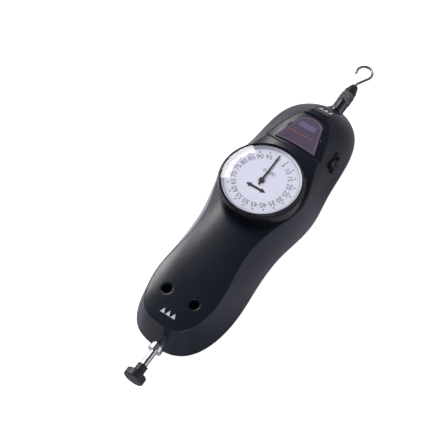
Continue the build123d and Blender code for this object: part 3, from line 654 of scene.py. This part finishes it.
arrow_half = 8.0 * mm
arrow_head = 4.0 * mm
arrow_head_half = 2.1 * mm
arrow_bar_half = 1.0 * mm
arrow_place = dial_centre + Vector((-0.2 * mm, -6.9 * mm, dial_top))
neck = arrow_half - arrow_head
arrow_outline = [
    (-arrow_half, 0), (-neck, -arrow_head_half), (-neck, -arrow_bar_half), (neck, -arrow_bar_half),
    (neck, -arrow_head_half), (arrow_half, 0), (neck, arrow_head_half), (neck, arrow_bar_half),
    (-neck, arrow_bar_half), (-neck, arrow_head_half),
]
double_arrow = raised([arrow_outline], print_height)
double_arrow.transform(Matrix.Translation(arrow_place))
dial_arrow = piece_from("dial_arrow", [double_arrow], ink_black)
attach(dial_arrow, "dial")

# %% [markdown]
# ## Marks on the case
# The case is marked at each end with the way the rod moves. Plain triangles say it without words.
# Each corner of a mark is dropped onto the case along a ray, so the paint lies on the surface
# wherever it slopes.

# %% Paint on the case
case_mesh = nodes["front_case"].data
case_tree = BVHTree.FromPolygons([v.co.copy() for v in case_mesh.vertices],
                                 [tuple(f.vertices) for f in case_mesh.polygons])
paint_height = 0.05 * mm
drop_height = 30 * mm
push_place = (0.1 * mm, -98.7 * mm, 45.2 * mm)
push_out = (0, 0, 1)
pull_place = (1.7 * mm, 95.1 * mm, 44.0 * mm)
pull_out = (0, 0.643, 0.766)


def painted_on(mesh, centre, out):
    """Lay a mesh that stands on z = 0 onto the case around a point, seen along a direction."""
    out = Vector(out).normalized()
    across = Vector((1, 0, 0))
    along = out.cross(across)
    for vertex in mesh.vertices:
        start = Vector(centre) + across * vertex.co.x + along * vertex.co.y + out * drop_height
        hit, normal, _, _ = case_tree.ray_cast(start, -out)
        vertex.co = hit + normal * vertex.co.z
    return mesh


def triangles(count, spacing, half, height):
    """A row of triangles that point along +Y."""
    first = -spacing * (count - 1) / 2
    return [[(first + spacing * i - half, -height / 2), (first + spacing * i + half, -height / 2),
             (first + spacing * i, height / 2)] for i in range(count)]


push_row = raised(triangles(3, 4.2 * mm, 1.7 * mm, 3.6 * mm), paint_height)
pull_row = raised(triangles(3, 4.0 * mm, 1.8 * mm, 4.6 * mm), paint_height)
end_marks = piece_from("end_marks", [
    painted_on(push_row, push_place, push_out),
    painted_on(pull_row, pull_place, pull_out),
], mark_white)
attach(end_marks, "housing")

# %% [markdown]
# ## The name plate
# The plate is a gloss plum keystone with bowed ends. It stays free of names: it gets what a blank
# plate has, a thin printed line round its edge, an empty field to write in and a row of dashes.
# The line is the plate's own outline drawn twice, a little smaller each time.

# %% Print on the name plate
plate_low, plate_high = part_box("name_plate")
plate_top = plate_high[2]
plate_start = plate_low[1]
plate_half_low = plate_high[0]
plate_half_high = 9.2 * mm
plate_end = 78.0 * mm
plate_rise_low = 1.15 * mm
plate_rise_high = plate_high[1] - plate_end
arc_steps = 16
wide_margin_share = 1.2
narrow_margin_share = 0.9
line_outer, line_inner = 0.9 * mm, 1.2 * mm
field_place = (-0.8 * mm, 73.0 * mm)
field_size = (13.0 * mm, 4.2 * mm)
dash_size = (1.3 * mm, 0.7 * mm)
dash_row = 65.0 * mm
dash_first, dash_spacing, dash_count = -10.6, 2.2, 9


def keystone(margin):
    """The plate's outline, drawn smaller by a margin."""
    low = plate_half_low - margin * wide_margin_share
    high = plate_half_high - margin * narrow_margin_share
    near, far = plate_start + margin, plate_end - margin
    steps = [2 * i / arc_steps - 1 for i in range(arc_steps + 1)]
    bottom = [(low * t, near + plate_rise_low * (1 - t * t)) for t in steps]
    top = [(-high * t, far + plate_rise_high * (1 - t * t)) for t in steps]
    return bottom + top


def framed(outer, inner, height):
    """A flat band between two outlines of as many points, as a closed plate."""
    return skin("band", [[(x, y, z) for x, y in loop] for loop, z in (
        (outer, 0), (outer, height), (inner, height), (inner, 0))])


def slab(x, y, width, depth):
    """A rectangle's outline."""
    return [(x - width / 2, y - depth / 2), (x + width / 2, y - depth / 2),
            (x + width / 2, y + depth / 2), (x - width / 2, y + depth / 2)]


lay_on_plate = Matrix.Translation((0, 0, plate_top))
plate_line = framed(keystone(line_outer), keystone(line_inner), print_height)
plate_field = raised([slab(*field_place, *field_size)], print_height)
dash_places = [(dash_first + dash_spacing * i) * mm for i in range(dash_count)]
plate_dashes = raised([slab(x, dash_row, *dash_size) for x in dash_places], print_height)
for name, mesh, paint in (("plate_line", plate_line, plate_line_grey),
                          ("plate_field", plate_field, plate_field_lilac),
                          ("plate_dashes", plate_dashes, amber_print)):
    mesh.transform(lay_on_plate)
    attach(piece_from(name, [mesh], paint), "housing")

# %% [markdown]
# ## The knurled lock nut
# Fingers turn this nut, so its side is knurled: two sets of grooves that cross as diamonds. A
# knurl follows a rule of angle and length, so the side is one surface whose radius dips where
# either set of grooves passes.

# %% Knurled nut
nut_low, nut_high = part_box("lock_nut")
rod_height = 20 * mm
nut_radius = nut_high[0]
nut_bore = 2.53 * mm
nut_chamfer = 0.6 * mm
knurl_columns = 144
knurl_rows = 30
knurl_grooves = 24
knurl_depth = 0.28 * mm
knurl_pitch_turn = 2.0
knurl_fade = 0.08
knurl_sharpness = 3.2


def nut_side(angle, share):
    """The knurled radius at an angle and a share of the knurl's length."""
    lead = knurl_pitch_turn * share
    crossing = max(abs(math.sin(knurl_grooves / 2 * angle + lead * math.pi)),
                   abs(math.sin(knurl_grooves / 2 * angle - lead * math.pi)))
    fade = min(1.0, share / knurl_fade, (1 - share) / knurl_fade)
    return nut_radius - knurl_depth * fade * (1 - crossing) * knurl_sharpness


knurl_start, knurl_end = nut_low[1] + nut_chamfer, nut_high[1] - nut_chamfer
stations = [(nut_low[1], None, nut_bore), (nut_low[1], None, nut_radius - nut_chamfer)]
stations += [(knurl_start + (knurl_end - knurl_start) * i / knurl_rows, i / knurl_rows, None)
             for i in range(knurl_rows + 1)]
stations += [(nut_high[1], None, nut_radius - nut_chamfer), (nut_high[1], None, nut_bore)]
nut_loops = []
for y, share, radius in stations:
    loop = []
    for i in range(knurl_columns):
        angle = math.tau * i / knurl_columns
        r = radius if share is None else nut_side(angle, share)
        loop.append((r * math.cos(angle), y, rod_height + r * math.sin(angle)))
    nut_loops.append(loop)
nut_mesh = skin("knurled_nut", nut_loops)
knurled_nut = piece_from("knurled_nut", [nut_mesh], nut_steel)
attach(knurled_nut, "rod")
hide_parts("lock_nut")

# %% [markdown]
# ## The line round the dial
# A thin grey line runs round the dial outside the figures.

# %% Dial border
border_inner, border_outer = 25.75 * mm, 26.1 * mm
border_columns = 144
border_loops = [[dial_centre + Vector((x, y, dial_top + rise))
                 for x, y in round_loop(radius, border_columns)]
                for radius, rise in ((border_inner, 0), (border_inner, print_height),
                                     (border_outer, print_height), (border_outer, 0))]
border_mesh = skin("dial_border", border_loops)
dial_border = piece_from("dial_border", [border_mesh], figure_grey)
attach(dial_border, "dial")

# %% [markdown]
# ## The case screws
# Four cap screws hold the two shells together, each with a hexagon socket in its head. They are
# all alike, so one screw is made and Geometry Nodes stands a copy on each of four points.

# %% Case screws
screw_sizes = {
    "Head Radius": 3.3 * mm, "Head Height": 3.0 * mm,
    "Shank Radius": 2.0 * mm, "Shank Length": 17.0 * mm,
    "Socket Radius": 1.75 * mm, "Socket Depth": 1.8 * mm,
}
screw_tree, screw_in, screw_out = new_tree("case_screws", screw_sizes)


def rod_node(tree, group_in, radius, length, sides):
    """A cylinder node with its radius and length taken from the tree's inputs."""
    body = tree.nodes.new("GeometryNodeMeshCylinder")
    body.inputs["Vertices"].default_value = sides
    link(tree, group_in, radius, body, "Radius")
    link(tree, group_in, length, body, "Depth")
    return body


def raise_by(tree, shape_node, group_in, size, share):
    """Lift a shape by a share of one of the sizes."""
    amount = add_node(tree, "ShaderNodeMath", operation="MULTIPLY")
    amount.inputs[1].default_value = share
    lift = tree.nodes.new("ShaderNodeCombineXYZ")
    moved = tree.nodes.new("GeometryNodeTransform")
    link(tree, group_in, size, amount, 0)
    link(tree, amount, 0, lift, "Z")
    link(tree, shape_node, 0, moved, "Geometry")
    link(tree, lift, 0, moved, "Translation")
    return moved


head_sides, head_lift = 48, 0.5
shank_sides, shank_lift = 32, -0.48
socket_sides, socket_lift = 6, 0.75
head = rod_node(screw_tree, screw_in, "Head Radius", "Head Height", head_sides)
head = raise_by(screw_tree, head, screw_in, "Head Height", head_lift)
shank = rod_node(screw_tree, screw_in, "Shank Radius", "Shank Length", shank_sides)
shank = raise_by(screw_tree, shank, screw_in, "Shank Length", shank_lift)
socket = rod_node(screw_tree, screw_in, "Socket Radius", "Socket Depth", socket_sides)
socket = raise_by(screw_tree, socket, screw_in, "Head Height", socket_lift)
whole = add_node(screw_tree, "GeometryNodeMeshBoolean", operation="UNION")
cut = add_node(screw_tree, "GeometryNodeMeshBoolean", operation="DIFFERENCE")
points = screw_tree.nodes.new("GeometryNodeInstanceOnPoints")
link(screw_tree, head, 0, whole, "Mesh 2")
link(screw_tree, shank, 0, whole, "Mesh 2")
link(screw_tree, whole, 0, cut, "Mesh 1")
link(screw_tree, socket, 0, cut, "Mesh 2")
link(screw_tree, cut, 0, points, "Instance")
spot_list = screw_tree.nodes.new("GeometryNodeJoinGeometry")
screw_seat = 29.0 * mm
screw_places = ((-11.0, -85.0), (11.0, -85.0), (-9.2, 67.0), (9.2, 67.0))
for x, y in screw_places:
    spot = screw_tree.nodes.new("GeometryNodePoints")
    spot.inputs["Position"].default_value = (x * mm, y * mm, screw_seat)
    link(screw_tree, spot, 0, spot_list, 0)
link(screw_tree, spot_list, 0, points, "Points")
close_tree(screw_tree, points, screw_out, zinc_screw)
socket_screws = grown("socket_screws", screw_tree, screw_sizes)
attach(socket_screws, "housing")
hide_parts("case_screws")

# %% [markdown]
# ## The main spring
# The spring is pressed together as the rod slides: its far end rests on the spring block and the
# rod's collar drives the near end. It is drawn again from round wire, with its end turns closed
# and ground flat.

# %% Main spring
spring_low, spring_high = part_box("main_spring")
spring_start, spring_end = spring_low[1], spring_high[1]
spring_wire_r = 0.7 * mm
spring_radius = spring_high[0] - spring_wire_r
spring_turns = 8
closed_turns = 0.9
turn_steps = 40
wire_sides = 12


def spring_share(turn):
    """How far along its length the wire is at a turn; the end turns lie almost flat."""
    closed_part = closed_turns * 2 * spring_wire_r / (spring_end - spring_start)
    if turn < closed_turns:
        return closed_part * turn / closed_turns
    if turn > spring_turns - closed_turns:
        return 1 - closed_part * (spring_turns - turn) / closed_turns
    open_share = (turn - closed_turns) / (spring_turns - 2 * closed_turns)
    return closed_part + (1 - 2 * closed_part) * open_share


wire_start, wire_end = spring_start + spring_wire_r / 2, spring_end - spring_wire_r / 2
spring_loops = []
for step in range(spring_turns * turn_steps + 1):
    angle = math.tau * step / turn_steps
    along = wire_start + (wire_end - wire_start) * spring_share(step / turn_steps)
    spring_loops.append([
        ((spring_radius + out) * math.cos(angle),
         min(max(along + rise, spring_start), spring_end),
         rod_height + (spring_radius + out) * math.sin(angle))
        for out, rise in round_loop(spring_wire_r, wire_sides)])
spring_mesh = skin("round_spring", spring_loops, closed=False)
round_spring = piece_from("round_spring", [spring_mesh], ground_steel)
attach(round_spring, "housing")
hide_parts("main_spring")
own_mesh(round_spring)
print("main spring", round((spring_end - spring_start) / mm, 2), "mm long at rest")
